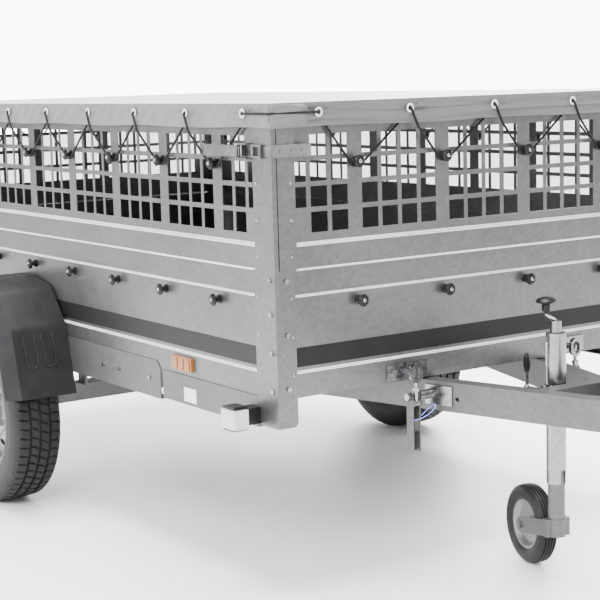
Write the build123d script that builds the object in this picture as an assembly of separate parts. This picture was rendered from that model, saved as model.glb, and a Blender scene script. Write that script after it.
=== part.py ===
from build123d import *
import math
import os

# A tilting single-axle box trailer with lattice sides, for carrying small livestock.
# X points forward to the coupling, Y to the left, Z up from the ground the wheels stand on.

# ---- driving dimensions, millimetres ----
BED_LENGTH = 2336.0          # over the corner posts
BED_WIDTH = 1280.0           # over the corner posts
WALL_BOTTOM = 486.0          # underside of the walls above the ground
WALL_HEIGHT = 300.0
LATTICE_HEIGHT = 378.0
SHEET = 2.0                  # pressed sheet of walls and lattices
POST_SHEET = 3.0
FIT = 0.1                    # radial clearance of pins and axles that turn
GAP = 1.0                    # clearance between parts that move past each other

# wall pressings: how far each band lies behind the face of the posts
LOW_BAND, MID_BAND, TOP_BAND, LATTICE_SILL, LATTICE_PLANE = 3.0, 8.0, 12.0, 5.0, 13.0
LOW_LEDGE, MID_LEDGE, SILL_LEDGE = 60.0, 238.0, 56.0
WALL_FLANGE = 34.0
LATTICE_FLANGE = 22.0

# corner posts
LOWER_POST_SIDE, LOWER_POST_END, LOWER_POST_DROP, POST_ROUND = 87.0, 55.0, 67.0, 12.0
UPPER_POST_SIDE, UPPER_POST_END, POST_GAP, END_STRIP = 80.0, 12.0, 3.0, 48.0

# lattice windows
SIDE_PITCHES, END_PITCHES = 7, 3
SIDE_FIRST_HOOK, END_FIRST_HOOK = 257.0, 241.5
WIDE_BAR, THIN_BAR, WINDOW_ROWS, WINDOW_COLUMNS = 41.0, 11.5, 4, 4
WINDOW_BASE, WINDOW_FIELD = 81.0, 226.0

# floor
FLOOR_BOARD, CROSS_DEPTH, CROSS_WIDTH, CROSS_COUNT = 9.0, 40.0, 30.0, 5

# cord hooks
HOOK_REACH, HOOK_HEAD, HOOK_NECK, HOOK_FOOT = 25.0, 30.0, 13.0, 22.0
LOWER_HOOK_DROP, UPPER_HOOK_RISE = 88.0, 240.0

# tailgate hinges and corner latches
HINGE_INSET, LATCH_HEIGHT, LATCH_RISE, TAILGATE_LATCH_DROP = 315.0, 29.0, 259.0, 60.0

# tarpaulin and its cord
COVER_SHEET, COVER_GAP, COVER_DROP, EYELET_DROP = 3.0, 1.5, 56.0, 24.0
EYELET_HOLE, CORD, EYELET_LEAD = 12.0, 6.0, 111.0
SIDE_LAST_EYELET, END_LAST_EYELET = 107.7, 86.8     # from the far end of the side

# sills, axle and wheels
SILL_HEIGHT, SILL_FLANGE = 74.0, 30.0
AXLE_SILL_TOP, AXLE_SILL_BOTTOM, AXLE_SILL_LEAD, AXLE_SILL_LENGTH = 505.0, 405.0, 554.0, 1260.0
WHEEL_BACK = 1340.0          # wheel centre behind the front of the bed
TYRE_RADIUS, TYRE_WIDTH, RIM_RADIUS, RIM_WIDTH = 274.0, 155.0, 165.0, 127.0
WHEEL_OUT = 110.0            # wheel centre plane outboard of the bed
ARM_REACH, ARM_DROP, ARM_THICK, ARM_EYE = 140.0, 46.0, 20.0, 30.0
AXLE_TUBE, AXLE_WALL, TORSION_BAR = 52.0, 5.0, 30.0
STUB_RADIUS, BOLT_CIRCLE, WHEEL_BOLTS = 14.0, 56.0, 4

# mudguards
GUARD_WIDTH, GUARD_SHEET, GUARD_BEVEL, GUARD_LIP = 205.0, 4.0, 36.0, 12.0
GUARD_LOW, GUARD_TOP, GUARD_ROUND = 345.0, 663.0, 52.0

# drawbar
BAR_TOP, BAR_HEIGHT, BAR_WIDTH, BAR_WALL, PIVOT_INSET = 482.0, 73.0, 45.0, 4.0, 110.18
BAR_MEET, BAR_END, BAR_REAR = 646.0, 636.0, 1150.0   # from the front of the bed
BRACE_BACK, BRACE_WIDTH, BRACE_HEIGHT = 272.0, 41.0, 40.0
PIVOT_RISE, PIVOT_RADIUS, PIVOT_BUSH, PIVOT_BUSH_LENGTH, CHEEK = 436.0, 8.0, 22.0, 66.0, 8.0

# coupling
BALL_RADIUS, BALL_FIT, BALL_AHEAD, BALL_HEIGHT, SOCKET_WALL = 25.0, 0.2, 916.0, 452.0, 11.0
HEAD_WIDTH, HEAD_WALL, HEAD_TOP, NOSE = 84.0, 5.0, 502.0, 44.0

# jockey wheel
JOCKEY_AHEAD, JOCKEY_TUBE, JOCKEY_WALL, JOCKEY_TOP, JOCKEY_BOTTOM = 242.0, 48.0, 3.0, 603.0, 234.0
LEG_TUBE, LEG_TOP, LEG_BOTTOM, FORK_HEIGHT = 41.0, 400.0, 102.0, 44.0
JOCKEY_WHEEL, JOCKEY_TYRE_WIDTH, JOCKEY_TRAIL, JOCKEY_SWIVEL = 100.0, 50.0, 127.0, -14.0
SPINDLE, CRANK_ROD, CRANK_THROW = 14.0, 9.0, 24.0

LAMP_REACH = 34.0            # rear lamps behind the bed

# the origin is midway between the coupling and the rear lamps
BED_FRONT = (BED_LENGTH + LAMP_REACH - BALL_AHEAD - NOSE) / 2
BED_REAR = BED_FRONT - BED_LENGTH
BED_MIDDLE = BED_FRONT - BED_LENGTH / 2
HALF = BED_WIDTH / 2
WALL_TOP = WALL_BOTTOM + WALL_HEIGHT
TAILGATE_LATCH = WALL_TOP - TAILGATE_LATCH_DROP
LATTICE_TOP = WALL_TOP + LATTICE_HEIGHT
FLOOR_BASE = WALL_BOTTOM + SHEET + CROSS_DEPTH
WHEEL_X = BED_FRONT - WHEEL_BACK
WHEEL_Y = HALF + WHEEL_OUT
AXLE_X = WHEEL_X + ARM_REACH
AXLE_Z = TYRE_RADIUS + ARM_DROP
JOCKEY_X = BED_FRONT + JOCKEY_AHEAD
BAR_SLOPE = (HALF - PIVOT_INSET) / (BAR_REAR + BAR_MEET)

nodes = {}


def box(x0, x1, y0, y1, z0, z1):
    """A box between two corners."""
    size = Box(x1 - x0, y1 - y0, z1 - z0)
    return Pos((x0 + x1) / 2, (y0 + y1) / 2, (z0 + z1) / 2) * size


def rod(radius, start, axis, length):
    """A round bar that starts at a point and runs along 'x', 'y' or 'z'."""
    turn = {"x": Rot(0, 90, 0), "y": Rot(-90, 0, 0), "z": Rot(0, 0, 0)}[axis]
    return Pos(*start) * turn * Pos(0, 0, length / 2) * Cylinder(radius, length)


def mirrored(shape):
    """The same piece on the other side of the trailer."""
    return mirror(shape, about=Plane.XZ)


def to_rear(shape):
    """The same piece at the other end of the bed."""
    return mirror(shape, about=Plane.YZ.offset(BED_MIDDLE))


def turned(shape):
    """The piece after half a turn about the middle of the bed."""
    return Pos(BED_MIDDLE, 0, 0) * Rot(0, 0, 180) * Pos(-BED_MIDDLE, 0, 0) * shape


def pair(shape):
    return [shape, mirrored(shape)]


def four(shape):
    return pair(shape) + pair(to_rear(shape))


def single(shape):
    """The one solid that a union holds."""
    found = shape.solids()
    assert len(found) == 1, len(found)
    return found[0]


def add(name, shapes):
    """Keep the solids of one node."""
    nodes[name] = [s for shape in shapes for s in shape.solids()]


# ---- bed ----
def pressed_wall(length, bands, bottom_flange, top_flange):
    """A pressed wall along X from 0, face to -Y; a band is (z0, z1, depth) from the bottom up."""
    wall = box(0, length, bands[0][2], bottom_flange, bands[0][0], bands[0][0] + SHEET)
    for index, (z0, z1, depth) in enumerate(bands):
        wall += box(0, length, depth, depth + SHEET, z0, z1)
        if index:
            below = bands[index - 1][2]
            wall += box(0, length, below, depth + SHEET, z0 - SHEET, z0)
    top = bands[-1][1]
    wall += box(0, length, bands[-1][2], top_flange, top - SHEET, top)
    wall += box(0, length, top_flange - SHEET, top_flange, top - 14, top)
    return single(wall)


def lower_wall(length):
    low = WALL_BOTTOM + LOW_LEDGE
    mid = WALL_BOTTOM + MID_LEDGE
    bands = [(WALL_BOTTOM, low, LOW_BAND), (low, mid, MID_BAND), (mid, WALL_TOP, TOP_BAND)]
    return pressed_wall(length, bands, WALL_FLANGE, WALL_FLANGE)


def window_cuts(first, count, pitch, plane):
    """The square windows of one lattice, with a wide bar behind every hook."""
    height = (WINDOW_FIELD - (WINDOW_ROWS - 1) * THIN_BAR) / WINDOW_ROWS
    width = (pitch - WIDE_BAR - (WINDOW_COLUMNS - 1) * THIN_BAR) / WINDOW_COLUMNS
    cuts = []
    base = WALL_TOP + WINDOW_BASE
    for row in range(WINDOW_ROWS):
        z = base + row * (height + THIN_BAR)
        end_row = row in (0, WINDOW_ROWS - 1)
        for gap in range(-1, count):
            start = first + gap * pitch + WIDE_BAR / 2
            for column in range(WINDOW_COLUMNS):
                x = start + column * (width + THIN_BAR)
                outer = WINDOW_COLUMNS - 1 - column if gap < 0 else column
                skipped = 2 if end_row else 3
                if gap in (-1, count - 1) and outer >= skipped:
                    continue
                cuts.append(box(x, x + width, plane - 5, plane + 5, z, z + height))
    return cuts


def lattice(length, first, count, pitch, strip):
    """An upper panel along X from 0, with its face to -Y and square windows."""
    ledge = WALL_TOP + SILL_LEDGE
    bands = [(WALL_TOP, ledge, LATTICE_SILL), (ledge, LATTICE_TOP, LATTICE_PLANE)]
    panel = pressed_wall(length, bands, WALL_FLANGE, LATTICE_PLANE + LATTICE_FLANGE)
    panel -= window_cuts(first, count, pitch, LATTICE_PLANE + SHEET / 2)
    if strip:
        for x in (0, length - strip):
            panel += box(x, x + strip, 0, POST_SHEET, WALL_TOP, LATTICE_TOP)
            panel += box(x + (strip - SHEET if x == 0 else 0), x + (strip if x == 0 else SHEET),
                         0, LATTICE_PLANE + SHEET, WALL_TOP, LATTICE_TOP)
    return single(panel)


def on_right(shape):
    """Place a panel built along X on the right side of the bed."""
    return Pos(BED_REAR + POST_SHEET, -HALF, 0) * shape


def on_front(shape, length):
    """Place a panel built along X across the front of the bed."""
    return Pos(BED_FRONT, -length / 2, 0) * Rot(0, 0, 90) * shape


SIDE_PANEL = BED_LENGTH - 2 * POST_SHEET
END_WALL = BED_WIDTH - 2 * (WALL_FLANGE + GAP)
END_LATTICE = BED_WIDTH - 2 * (UPPER_POST_END + POST_GAP)
SIDE_PITCH = (BED_LENGTH - 2 * SIDE_FIRST_HOOK) / SIDE_PITCHES
END_PITCH = (BED_WIDTH - 2 * END_FIRST_HOOK) / END_PITCHES
SIDE_HOOKS = [SIDE_FIRST_HOOK + k * SIDE_PITCH for k in range(SIDE_PITCHES + 1)]
END_HOOKS = [END_FIRST_HOOK + k * END_PITCH for k in range(END_PITCHES + 1)]


def make_walls():
    side = on_right(lower_wall(SIDE_PANEL))
    add("side_wall_right", [side])
    add("side_wall_left", [mirrored(side)])
    front = on_front(lower_wall(END_WALL), END_WALL)
    add("front_wall", [front])
    first = SIDE_FIRST_HOOK - POST_SHEET
    side = on_right(lattice(SIDE_PANEL, first, SIDE_PITCHES + 1, SIDE_PITCH, 0))
    add("lattice_right", [side])
    add("lattice_left", [mirrored(side)])
    inset = UPPER_POST_END + POST_GAP
    end = lattice(END_LATTICE, END_FIRST_HOOK - inset, END_PITCHES + 1, END_PITCH, END_STRIP)
    reach = WALL_FLANGE + GAP
    keep = box(BED_FRONT - 60, BED_FRONT + 10, -HALF + reach, HALF - reach, 0, 2000)
    keep += box(BED_FRONT - POST_SHEET, BED_FRONT + 10, -HALF, HALF, 0, 2000)
    end = single(on_front(end, END_LATTICE) & keep)
    add("lattice_front", [end])
    add("lattice_rear", [to_rear(end)])


def corner_angle(z0, z1, side, end):
    """An angle round the front right corner of the bed."""
    angle = box(BED_FRONT - side, BED_FRONT, -HALF, -HALF + POST_SHEET, z0, z1)
    angle += box(BED_FRONT - POST_SHEET, BED_FRONT, -HALF, -HALF + end, z0, z1)
    return angle


def make_posts():
    base = WALL_BOTTOM - LOWER_POST_DROP
    lower = corner_angle(base, WALL_TOP, LOWER_POST_SIDE, LOWER_POST_END)
    foot = lower.edges().filter_by(Axis.Y).group_by(Axis.Z)[0].sort_by(Axis.X)[0]
    lower = fillet(foot, POST_ROUND)
    foot = lower.edges().filter_by(Axis.X).group_by(Axis.Z)[0].sort_by(Axis.Y)[-1]
    lower = fillet(foot, POST_ROUND)
    add("lower_corner_posts", four(single(lower)))
    add("upper_corner_posts", four(single(corner_angle(WALL_TOP, LATTICE_TOP, UPPER_POST_SIDE,
                                                       UPPER_POST_END))))


def make_floor():
    inset = LOW_BAND + SHEET + GAP
    tall = MID_BAND + SHEET + GAP
    board = box(BED_REAR + WALL_FLANGE + 4, BED_FRONT - tall, -HALF + tall, HALF - tall,
                FLOOR_BASE, FLOOR_BASE + FLOOR_BOARD)
    add("floor_board", [board])
    bearers = []
    first, last = BED_REAR + 60, BED_FRONT - 60
    for index in range(CROSS_COUNT):
        x = first + (last - first) * index / (CROSS_COUNT - 1)
        z0 = WALL_BOTTOM + SHEET
        half = CROSS_WIDTH / 2
        bearer = box(x - half, x + half, -HALF + inset, HALF - inset, z0, FLOOR_BASE)
        bearer -= box(x - half + SHEET, x + half, -HALF, HALF, z0 + SHEET, FLOOR_BASE - SHEET)
        bearers.append(bearer)
    add("floor_cross_members", bearers)


def make_sills():
    """Folded plates under each side: a short one ahead and a deep one that carries the axle."""
    front_end = BED_FRONT - LOWER_POST_SIDE - GAP
    rear_end = BED_FRONT - AXLE_SILL_LEAD + 13
    top = WALL_BOTTOM
    front = box(rear_end, front_end, -HALF, -HALF + POST_SHEET, top - SILL_HEIGHT, top)
    front += box(rear_end, front_end, -HALF, -HALF + SILL_FLANGE, top - SILL_HEIGHT,
                 top - SILL_HEIGHT + POST_SHEET)
    x1 = BED_FRONT - AXLE_SILL_LEAD
    x0 = x1 - AXLE_SILL_LENGTH
    deep = box(x0, x1, -HALF, -HALF + POST_SHEET, AXLE_SILL_BOTTOM, AXLE_SILL_TOP)
    deep += box(x0, x1, -HALF, -HALF + SILL_FLANGE, AXLE_SILL_BOTTOM,
                AXLE_SILL_BOTTOM + POST_SHEET)
    corner = deep.edges().filter_by(Axis.Y).group_by(Axis.Z)[-1].sort_by(Axis.X)[-1]
    deep = chamfer(corner, 18)
    rear = box(BED_REAR + POST_SHEET, BED_REAR + 45, -HALF + 60, HALF - 60, 436, 482)
    rear -= box(BED_REAR + POST_SHEET + SHEET, BED_REAR + 50, -HALF, HALF, 436 + SHEET, 482 - SHEET)
    rear += pair(box(BED_REAR + POST_SHEET, BED_REAR + 45, -HALF + POST_SHEET, -HALF + 62, 436, 440))
    add("sill_plates", pair(single(front)) + pair(single(deep)) + [single(rear)])


def hook():
    """One black knob that the cord is hooked on, along -Y from its foot at Y = 0."""
    foot, neck, head = HOOK_FOOT / 2, HOOK_NECK / 2, HOOK_HEAD / 2
    outline = Polyline((0, 0), (foot, 0), (foot, 4), (neck, 7), (neck, HOOK_REACH - 11),
                       (head, HOOK_REACH - 7), (head, HOOK_REACH - 4), (head - 5, HOOK_REACH),
                       (0, HOOK_REACH), (0, 0))
    return Rot(90, 0, 0) * revolve(Plane.XZ * make_face(outline), Axis.Z)


def make_hooks():
    low, high = WALL_TOP - LOWER_HOOK_DROP, WALL_TOP + UPPER_HOOK_RISE
    knobs, gate = [], []
    for z, depth in ((low, TOP_BAND if low > WALL_BOTTOM + MID_LEDGE else MID_BAND),
                     (high, LATTICE_PLANE)):
        for s in SIDE_HOOKS:
            knobs += pair(Pos(BED_FRONT - s, -HALF + depth, z) * hook())
        for s in END_HOOKS:
            end = Pos(BED_FRONT - depth, -HALF + s, z) * Rot(0, 0, 90) * hook()
            knobs.append(end)
            (gate if z == low else knobs).append(to_rear(end))
    add("cord_hooks", knobs)
    add("tailgate_hooks", gate)


def make_tailgate():
    clear = LOWER_POST_END + 3
    length = BED_WIDTH - 2 * clear
    low, mid = WALL_BOTTOM + LOW_LEDGE, WALL_BOTTOM + MID_LEDGE
    bands = [(WALL_BOTTOM + 4, low, LOW_BAND), (low, mid, MID_BAND), (mid, WALL_TOP - 3, TOP_BAND)]
    panel = pressed_wall(length, bands, WALL_FLANGE - 6, WALL_FLANGE - 6)
    panel = to_rear(on_front(panel, length))
    add("tailgate_panel", [panel])
    leaves, pins = [], []
    axis_x, axis_z = BED_REAR - 6, WALL_BOTTOM - 2
    for y in (HINGE_INSET - HALF, 0, HALF - HINGE_INSET):
        knuckle = rod(6, (axis_x, y - 20, axis_z), "y", 40)
        knuckle += box(axis_x, BED_REAR + LOW_BAND, y - 20, y + 20, axis_z + 2, axis_z + 6)
        knuckle += box(BED_REAR, BED_REAR + LOW_BAND, y - 20, y + 20, axis_z + 2, axis_z + 40)
        knuckle -= rod(3 + FIT, (axis_x, y - 30, axis_z), "y", 60)
        leaves.append(knuckle)
        pin = rod(3, (axis_x, y - 42, axis_z), "y", 84)
        for side in (-1, 1):
            y0 = y + side * (20 + GAP) + (-20 if side < 0 else 0)
            pin += rod(6, (axis_x, y0, axis_z), "y", 20)
            pin += box(axis_x, BED_REAR + POST_SHEET, y0, y0 + 20, axis_z - 6, axis_z - 2)
            pin += box(BED_REAR, BED_REAR + POST_SHEET, y0, y0 + 20, axis_z - 40, axis_z - 2)
        pins.append(single(pin))
    strap = to_rear(corner_latch(TAILGATE_LATCH)[0])
    add("tailgate_fittings", leaves + pair(strap))
    add("tailgate_hinge_pins", pins)


# ---- cover ----
def eyelets(hooks, last):
    """Where the cord goes through the hem: ahead of each hook, and once after the last."""
    return [s - EYELET_LEAD for s in hooks] + [last]


def make_cover():
    inner = COVER_GAP
    outer = COVER_GAP + COVER_SHEET
    top = LATTICE_TOP + COVER_GAP + COVER_SHEET
    sheet = box(BED_REAR - outer, BED_FRONT + outer, -HALF - outer, HALF + outer,
                top - COVER_DROP, top)
    sheet -= box(BED_REAR - inner, BED_FRONT + inner, -HALF - inner, HALF + inner,
                 top - COVER_DROP - 1, top - COVER_SHEET)
    z = top - EYELET_DROP
    for half_turn in (False, True):
        holes = [rod(EYELET_HOLE / 2, (BED_REAR + s, -HALF - 20, z), "y", 40) for s in SIDE_EYELETS]
        holes += [rod(EYELET_HOLE / 2, (BED_FRONT - 20, -HALF + s, z), "x", 40)
                  for s in END_EYELETS]
        sheet -= [turned(h) for h in holes] if half_turn else holes
    add("cover_sheet", [single(sheet)])
    make_cord(z)


SIDE_EYELETS = eyelets(SIDE_HOOKS, BED_LENGTH - SIDE_LAST_EYELET)
END_EYELETS = eyelets(END_HOOKS, BED_WIDTH - END_LAST_EYELET)


def cord_piece(points, radii):
    """A length of round cord along straight runs joined by arcs."""
    path = FilletPolyline(*points, radius=radii)
    section = Plane(origin=path @ 0, z_dir=path % 0) * Circle(CORD / 2)
    return single(sweep(section, path))


def make_cord(z):
    """The cord laced through the hem and round the hooks; s runs along a side, d points out."""
    mid, out, back = COVER_GAP + COVER_SHEET / 2, COVER_GAP + COVER_SHEET + 5, -5.0
    neck = HOOK_NECK / 2 + CORD / 2 + 1
    high = WALL_TOP + UPPER_HOOK_RISE
    hem = LATTICE_TOP + COVER_GAP + COVER_SHEET - COVER_DROP

    def vee(place, start, hook_at, end, first):
        """One stretch from eyelet to eyelet round a hook; the first on a side starts inward."""
        points = [place(start, mid, z)]
        if first:
            points += [place(start, back, z)]
        else:
            points += [place(start, out, z), place(start + 20, out, hem - 12)]
        points += [place(hook_at - neck, back, high - neck), place(hook_at + neck, back, high - neck),
                   place(end - 20, back, hem + 4), place(end, back, z), place(end, mid, z)]
        radii = [3.0] + ([] if first else [20.0]) + [neck, neck, 12.0, 3.0]
        return cord_piece(points, radii)

    def right(s, d, height):
        return (BED_REAR + s, -HALF - d, height)

    def front(s, d, height):
        return (BED_FRONT + d, -HALF + s, height)

    pieces = []
    for place, holes, hooks in ((right, SIDE_EYELETS, SIDE_HOOKS), (front, END_EYELETS, END_HOOKS)):
        for index, hook_at in enumerate(hooks):
            pieces.append(vee(place, holes[index], hook_at, holes[index + 1], index == 0))
    start, end = SIDE_EYELETS[-1], END_EYELETS[0]
    corner = [right(start, mid, z), right(start, out, z), (BED_FRONT + out, -HALF - out, z),
              front(end, out, z), front(end, mid, z)]
    pieces.append(cord_piece(corner, [3.0, 8.0, 3.0]))
    start, end = END_EYELETS[-1], SIDE_EYELETS[0]
    last = [front(start, mid, z), front(start, out, z), (BED_FRONT + out, HALF + out, z),
            (BED_FRONT - end, HALF + out, z), (BED_FRONT - end, HALF + mid, z)]
    pieces.append(cord_piece(last, [3.0, 8.0, 3.0]))
    add("cover_cord", pieces + [turned(p) for p in pieces])


# ---- fittings on the bed ----
def make_lamps():
    """Front marker lamps on rubber arms, side reflectors and rear lamps."""
    x, z = BED_FRONT - 95, WALL_BOTTOM - 44
    y = -HALF
    arm = box(x - 22, x + 18, y - 40, y, z - 20, z + 20)
    body = Box(56, 36, 58)
    arm += Pos(x - 6, y - 56, z - 2) * fillet(body.edges().filter_by(Axis.Y), 7)
    lens = Pos(x + 26, y - 56, z - 2) * Box(8, 30, 46)
    lens += Pos(x - 6, y - 77, z - 2) * Box(46, 6, 46)
    cover = Pos(x + 4, y - 66, z - 2) * Box(52, 28, 46)
    lens = (lens + cover) - arm
    lamp = max(lens.solids(), key=lambda s: s.volume)
    add("marker_lamp_arms", pair(single(arm)))
    add("marker_lamps", pair(lamp))
    mid = BED_FRONT - 435
    reflector = box(mid - 50, mid + 50, y - 5, y + LOW_BAND, WALL_BOTTOM + 12, WALL_BOTTOM + 48)
    reflector = fillet(reflector.edges().filter_by(Axis.Y), 4)
    add("side_reflectors", pair(single(reflector)))
    shell = box(BED_REAR - 22, BED_REAR, y + 64, y + 264, 380, 436 + 40)
    shell = fillet(shell.edges().filter_by(Axis.X), 14)
    shell -= box(BED_REAR - 30, BED_REAR - 6, y + 68, y + 260, 384, 472)
    shell += box(BED_REAR, BED_REAR + POST_SHEET, y + 80, y + 240, 442, 472)
    lens = box(BED_REAR - LAMP_REACH, BED_REAR - 6, y + 69, y + 259, 385, 471)
    lens = fillet(lens.edges().group_by(Axis.X)[0], 6)
    add("rear_lamps", pair(single(shell)) + pair(single(lens)))




def corner_latch(rise):
    """Strap, base and lever of one toggle latch round the front right corner."""
    z0, z1 = rise, rise + LATCH_HEIGHT
    x, y = BED_FRONT, -HALF
    strap = box(x, x + 3, y - 3, y + 108, z0, z1)
    strap += box(x - 26, x + 3, y - 3, y, z0 + 3, z1 - 3)
    for s in (25, 58, 86):
        strap += rod(5, (x + 3, y + s, (z0 + z1) / 2), "x", 2.5)
    base = box(x - 122, x - 34, y - 2, y, z0 - 4, z1 + 4)
    for z in (z0 - 4, z1 + 1):
        base += box(x - 122, x - 76, y - 20, y, z, z + 3)
    base += rod(2.5, (x - 116, y - 14, z0 - 4), "z", z1 - z0 + 8)
    loop = box(x - 66, x - 30, y - 10, y - 4.5, z1 - 4, z1 + 1)
    loop += box(x - 66, x - 30, y - 10, y - 4.5, z0 - 1, z0 + 4)
    loop += box(x - 66, x - 60, y - 10, y, z0 - 1, z1 + 1)
    loop += box(x - 35, x - 30, y - 10, y - 4.5, z0 - 1, z1 + 1)
    base += loop
    lever = box(x - 262, x - 110, y - 22, y - 19, z0 + 1, z1 - 1)
    for z in (z0 + 1, z1 - 4):
        lever += box(x - 250, x - 110, y - 22, y - 10, z, z + 3)
    lever += rod(6, (x - 116, y - 14, z0 + 1), "z", z1 - z0 - 2)
    lever -= rod(2.5 + FIT, (x - 116, y - 14, z0 - 10), "z", z1 - z0 + 20)
    return single(strap), single(base), single(lever)


def make_latches():
    strap, base, lever = corner_latch(WALL_TOP + LATCH_RISE)
    low_base, low_lever = [to_rear(s) for s in corner_latch(TAILGATE_LATCH)[1:]]
    add("corner_latches", pair(strap) + pair(base) + pair(low_base))
    for name, right in (("front", lever), ("rear", low_lever)):
        add(f"latch_lever_{name}_right", [right])
        add(f"latch_lever_{name}_left", [mirrored(right)])


def guard_outline(inset):
    """The arched outline of a mudguard about the wheel centre, drawn in X and Z."""
    half, shoulder, crown, flat = 290.0, 242.0, 155.0, 45.0
    low = GUARD_LOW
    if inset:
        # what is cut out of the guard runs on below it
        slope = (half - shoulder) / (GUARD_TOP - 127 - GUARD_LOW)
        low, half = GUARD_LOW - 120, half + 120 * slope
    points = [(-half, low), (-shoulder, GUARD_TOP - 127), (-crown, GUARD_TOP - 21),
              (-flat, GUARD_TOP), (flat, GUARD_TOP), (crown, GUARD_TOP - 21),
              (shoulder, GUARD_TOP - 127), (half, low)]
    face = make_face(Polyline(*points, close=True))
    face = fillet(face.vertices().sort_by(Axis.Y)[2:], GUARD_ROUND)
    return offset(face, amount=-inset, kind=Kind.INTERSECTION) if inset else face


def make_mudguard():
    def body(inset, width, bevel):
        solid = extrude(Plane.XZ * guard_outline(inset), amount=width)
        return chamfer(solid.faces().sort_by(Axis.Y)[0].edges().sort_by(Axis.Z)[1:], bevel)

    outer = body(0, GUARD_WIDTH, GUARD_BEVEL)
    inner = body(GUARD_SHEET, GUARD_WIDTH - 2 * GUARD_SHEET, GUARD_BEVEL - 2)
    inner = Pos(0, -GUARD_SHEET, 0) * inner
    arch = extrude(Plane.XZ * guard_outline(GUARD_BEVEL + GUARD_LIP), amount=GUARD_WIDTH + 10)
    arch = Pos(0, 5, 0) * arch
    shell = outer - inner - arch
    shell = Pos(WHEEL_X, -HALF, 0) * shell
    shell = single(shell)
    add("mudguard_right", [shell])
    add("mudguard_left", [mirrored(shell)])


# ---- axle and wheels ----
def make_axle():
    half = AXLE_TUBE / 2
    end = HALF - GAP
    beam = box(AXLE_X - half, AXLE_X + half, -end, end, AXLE_Z - half, AXLE_Z + half)
    bore = half - AXLE_WALL
    beam -= box(AXLE_X - bore, AXLE_X + bore, -end - 1, end + 1, AXLE_Z - bore, AXLE_Z + bore)
    add("axle_beam", [beam])
    top = AXLE_SILL_BOTTOM
    stand = box(AXLE_X - 60, AXLE_X + 60, -HALF + 4, -HALF + SILL_FLANGE, AXLE_Z + half, top)
    stand -= box(AXLE_X - 60, AXLE_X + 54, -HALF + 9, -HALF + 40, AXLE_Z + half + 5, top - 5)
    yc = -bar_centre(PIVOT_X)
    inner = PIVOT_BUSH_LENGTH / 2 + GAP
    fork = box(PIVOT_X - 30, PIVOT_X + 20, yc - inner - CHEEK, yc + inner + CHEEK,
               AXLE_Z + half, AXLE_Z + half + 6)
    for side in (-1, 1):
        y0 = yc + side * inner + (-CHEEK if side < 0 else 0)
        fork += box(PIVOT_X - 24, PIVOT_X + 20, y0, y0 + CHEEK, AXLE_Z + half, PIVOT_RISE)
        fork += rod(22, (PIVOT_X - 2, y0, PIVOT_RISE), "y", CHEEK)
    fork -= rod(PIVOT_RADIUS, (PIVOT_X, yc - 80, PIVOT_RISE), "y", 160)
    add("axle_brackets", pair(single(stand)) + pair(single(fork)))
    pin = rod(PIVOT_RADIUS, (PIVOT_X, yc - inner - CHEEK - 3, PIVOT_RISE), "y",
              2 * (inner + CHEEK + 3))
    for y in (yc - inner - CHEEK - 8, yc + inner + CHEEK):
        pin += rod(PIVOT_RADIUS + 5, (PIVOT_X, y, PIVOT_RISE), "y", 8)
    add("tilt_pivot_pins", pair(single(pin)))


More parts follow.
